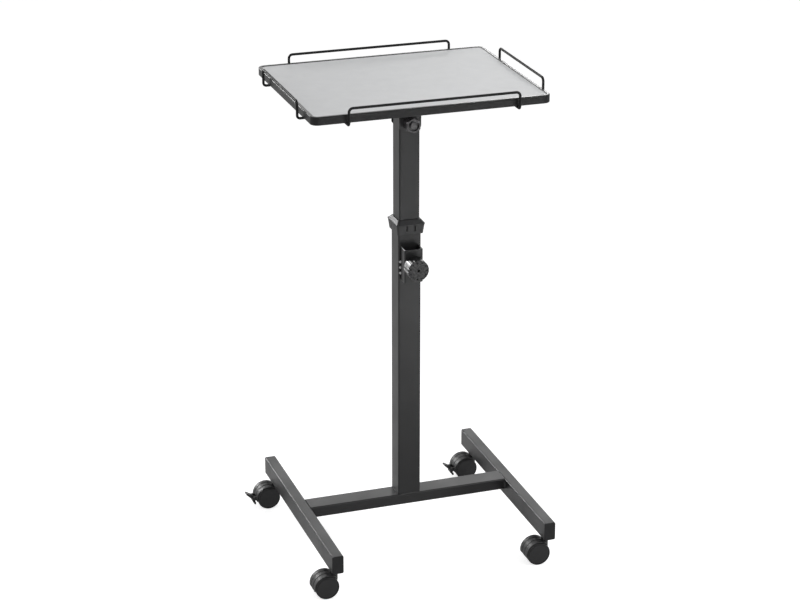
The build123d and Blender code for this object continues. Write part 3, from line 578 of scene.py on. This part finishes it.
# Zinc-plated pan-head screws with a cross recess hold the bracket plate and the guards' eyelets to the board.
# Each one is driven up from below until its head seats on the plate or the eyelet.
def drive_screw(name, seat, head_radius, head_rise, shank_radius, grip):
    """Make a pan-head screw whose head hangs under its seat, with a shank that reaches up into the board."""
    sides = 32
    flat_radius = 0.6 * head_radius
    arm, half = 0.45 * head_radius, 0.11 * head_radius      # the cross recess's arms and half their width
    recess_taper = 0.6
    recess_floor = -0.35 * head_rise
    # Reach and level of each ring, from the shank's tip down to the rim of the head's flat.
    profile = [(shank_radius * 0.5, grip + shank_radius), (shank_radius, grip), (shank_radius, 0),
               (head_radius, 0), (head_radius, -0.4 * head_rise), (0.93 * head_radius, -0.7 * head_rise),
               (0.78 * head_radius, -0.9 * head_rise), (flat_radius, -head_rise)]
    turns = [2 * math.pi * k / sides for k in range(sides)]
    shape = bmesh.new()
    rings = []
    for reach, level in profile:
        rings.append([shape.verts.new((reach * math.cos(t), reach * math.sin(t), level)) for t in turns])
    for before, after in zip(rings, rings[1:]):
        for k in range(sides):
            shape.faces.new((before[k - 1], before[k], after[k], after[k - 1]))
    shape.faces.new(rings[0])
    cross = [(arm, -half), (arm, half), (half, half), (half, arm), (-half, arm), (-half, half),
             (-arm, half), (-arm, -half), (-half, -half), (-half, -arm), (half, -arm), (half, -half)]
    mouth = [shape.verts.new((x, y, -head_rise)) for x, y in cross]
    bottom = [shape.verts.new((recess_taper * x, recess_taper * y, recess_floor)) for x, y in cross]
    rim_edges = [shape.edges.get((rings[-1][k - 1], rings[-1][k])) for k in range(sides)]
    mouth_edges = [shape.edges.new((mouth[k - 1], mouth[k])) for k in range(len(cross))]
    bmesh.ops.triangle_fill(shape, edges=rim_edges + mouth_edges, use_beauty=True)
    for k in range(len(cross)):
        shape.faces.new((mouth[k - 1], mouth[k], bottom[k], bottom[k - 1]))
    shape.faces.new(bottom)
    bmesh.ops.translate(shape, verts=shape.verts, vec=seat)
    new_piece(name, shape, zinc, "tray")


board_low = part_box("tray_board")[0]
plate_low, plate_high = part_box("tray_bracket")
plate_inset = 14.0 * mm
plate_sheet = 3.0 * mm
bracket_screw = {"head_radius": 4.8 * mm, "head_rise": 2.9 * mm, "shank_radius": 2.2 * mm, "grip": 6.0 * mm}
plate_corners = [(x, y) for x in (plate_low.x + plate_inset, plate_high.x - plate_inset)
                 for y in (plate_low.y + plate_inset, plate_high.y - plate_inset)]
for n, (x, y) in enumerate(plate_corners):
    drive_screw(f"bracket_screw_{n + 1}", (x, y, board_low.z - plate_sheet), **bracket_screw)
eyelet_radius = 6.0 * mm
eyelet_inset = Vector((1, 1, 0)) * eyelet_radius
eyelet_below_board = 3.0 * mm
guard_screw = {"head_radius": 4.2 * mm, "head_rise": 2.6 * mm, "shank_radius": 1.9 * mm, "grip": 6.0 * mm}
for side, inward in (("front", (0, 1)), ("back", (0, -1)), ("left", (1, 0)), ("right", (-1, 0))):
    guard_low, guard_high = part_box(f"{side}_guard")
    near, far = guard_low + eyelet_inset, guard_high - eyelet_inset
    inner_x = far.x if inward[0] > 0 else near.x
    inner_y = far.y if inward[1] > 0 else near.y
    if inward[1]:
        places = [(near.x, inner_y), (far.x, inner_y)]
    else:
        places = [(inner_x, near.y), (inner_x, far.y)]
    for n, (x, y) in enumerate(places):
        drive_screw(f"{side}_guard_screw_{n + 1}", (x, y, board_low.z - eyelet_below_board), **guard_screw)

# The floor is plain white studio paper, laid flat far beyond the camera's view. It is matt, so the stand
# has no mirror image in it, and it keeps the stand's soft shadow.
paper_white = "#e8e8e8"
glow_white = "#ffffff"
paper_glow = 0.66
mirrored_share = 0.22               # how much of the glow shows in glossy surfaces
floor_reach = 9.0
floor_mesh = bpy.data.meshes.new("studio_floor")
shape = bmesh.new()
bmesh.ops.create_circle(shape, cap_ends=True, segments=64, radius=floor_reach)
shape.to_mesh(floor_mesh)
shape.free()
paper, tree, shader = new_finish("matt_white_studio_paper", Base_Color=linear(paper_white), Roughness=0.9,
                                 Emission_Color=linear(glow_white))
ray = add_node(tree, "ShaderNodeLightPath")
mirrored = add_node(tree, "ShaderNodeMath", settings={"operation": "MULTIPLY"}, values={1: mirrored_share},
                    links={0: (ray, "Is Glossy Ray")})
seen_or_mirrored = add_node(tree, "ShaderNodeMath", settings={"operation": "MAXIMUM"},
                            links={0: (ray, "Is Camera Ray"), 1: (mirrored, 0)})
seen = add_node(tree, "ShaderNodeMath", settings={"operation": "MAXIMUM"},
                links={0: (seen_or_mirrored, 0), 1: (ray, "Is Transmission Ray")})
glow = add_node(tree, "ShaderNodeMath", settings={"operation": "MULTIPLY"}, values={1: paper_glow},
                links={0: (seen, 0)})
feed(tree, shader, "Emission Strength", glow)
floor_mesh.materials.append(paper)
floor = bpy.data.objects.new("studio_floor", floor_mesh)
bpy.context.scene.collection.objects.link(floor)

# The backdrop is a plain white studio wall under a dark grey ceiling, as the camera and the glossy finishes
# see them. The light that the room itself sends to the stand is dim, soft and even.
backdrop_white = "#ffffff"
ceiling_grey = "#383838"
ceiling_starts, ceiling_full = 0.45, 0.85   # rise of the line of sight, as the sine of its slope
room_light = 0.5
world = bpy.data.worlds.new("white_studio")
world.use_nodes = True
world.cycles.sampling_method = "NONE"
bpy.context.scene.world = world
tree = world.node_tree
tree.nodes.clear()
way = add_node(tree, "ShaderNodeTexCoord")
rise = add_node(tree, "ShaderNodeSeparateXYZ", links={0: (way, "Generated")})
overhead = add_node(tree, "ShaderNodeMapRange", settings={"interpolation_type": "SMOOTHSTEP"},
                    values={"From Min": ceiling_starts, "From Max": ceiling_full},
                    links={"Value": (rise, "Z")})
seen_tone = add_node(tree, "ShaderNodeMix", settings={"data_type": "RGBA"}, links={0: (overhead, 0)},
                     values={first_colour: linear(backdrop_white), second_colour: linear(ceiling_grey)})
ray = add_node(tree, "ShaderNodeLightPath")
seen_or_mirrored = add_node(tree, "ShaderNodeMath", settings={"operation": "MAXIMUM"},
                            links={0: (ray, "Is Camera Ray"), 1: (ray, "Is Glossy Ray")})
seen = add_node(tree, "ShaderNodeMath", settings={"operation": "MAXIMUM"},
                links={0: (seen_or_mirrored, 0), 1: (ray, "Is Transmission Ray")})
even_light = add_node(tree, "ShaderNodeBackground", values={"Strength": room_light})
seen_backdrop = add_node(tree, "ShaderNodeBackground", links={"Color": (seen_tone, mixed)})
either = add_node(tree, "ShaderNodeMixShader",
                  links={0: (seen, 0), 1: (even_light, 0), 2: (seen_backdrop, 0)})
add_node(tree, "ShaderNodeOutputWorld", links={"Surface": (either, 0)})


# Soft boxes light the set: a broad one high on the right, a wide one behind, a small one behind that whitens
# the tray's right rim, two that pool light on the floor in front, and narrow strips on the left and behind
# that draw the fine white glints on rounded edges.
def soft_box(name, place, aim, width, height, power, spread=180):
    """Stand a soft box at a place, turned to its aim, in metres, watts and degrees of spread."""
    lamp = bpy.data.lights.new(name, "AREA")
    lamp.shape = "RECTANGLE"
    lamp.size = width
    lamp.size_y = height
    lamp.energy = power
    lamp.spread = math.radians(spread)
    stand = bpy.data.objects.new(name, lamp)
    stand.location = place
    stand.rotation_euler = (Vector(place) - Vector(aim)).to_track_quat("Z", "Y").to_euler()
    stand.visible_camera = False
    bpy.context.scene.collection.objects.link(stand)


soft_box("broad_soft_box", place=(1.7, -1.5, 2.5), aim=(0.1, 0, 0.8),
         width=1.6, height=1.6, power=38)
soft_box("strip_box", place=(-1.2, 2.6, 1.4), aim=(0, 0, 0.6),
         width=0.35, height=2.0, power=5.0, spread=50)
soft_box("left_strip_box", place=(-2.6, 0.15, 1.45), aim=(0, 0, 0.3),
         width=0.25, height=1.0, power=1.2, spread=60)
soft_box("back_soft_box", place=(1.4, 3.6, 1.9), aim=(0, 0, 0.6),
         width=2.4, height=1.6, power=2.0, spread=60)
soft_box("rim_box", place=(1.65, 3.4, 2.04), aim=(0.26, 0, 1.0),
         width=0.45, height=0.35, power=0.11, spread=16)
soft_box("front_soft_box", place=(0.55, -1.5, 1.0), aim=(0.5, -1.4, 0),
         width=0.4, height=0.4, power=7, spread=75)
soft_box("right_front_soft_box", place=(1.2, -2.7, 1.0), aim=(1.15, -2.6, 0),
         width=0.4, height=0.4, power=12, spread=75)

# The camera is nearly five metres away, to the left of the stand's front, and looks down a little.
# Its long lens keeps the rails and the tray's sides close to parallel.
bpy.context.scene.view_settings.view_transform = "Standard"
camera_azimuth = math.radians(-18.81)
camera_elevation = math.radians(21.33)
camera_distance = 4.845
film_width = 36.0                   # in millimetres, as the focal length is
focal_length = 104.41
aim_right_of_mast = 4.4 * mm
aim_behind_middle = 51.6 * mm
aim_above_rails = 412.6 * mm
mast_middle = (mast_low + mast_high) / 2
rail_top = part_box("left_rail")[1].z
aim = Vector((mast_middle.x + aim_right_of_mast, aim_behind_middle, rail_top + aim_above_rails))
toward = Vector((math.sin(camera_azimuth) * math.cos(camera_elevation),
                 -math.cos(camera_azimuth) * math.cos(camera_elevation), math.sin(camera_elevation)))
lens = bpy.data.cameras.new("long_lens")
lens.sensor_fit = "HORIZONTAL"
lens.sensor_width = film_width
lens.lens = focal_length
camera = bpy.data.objects.new("camera", lens)
camera.location = aim + toward * camera_distance
camera.rotation_euler = toward.to_track_quat("Z", "Y").to_euler()
bpy.context.scene.collection.objects.link(camera)
bpy.context.scene.camera = camera
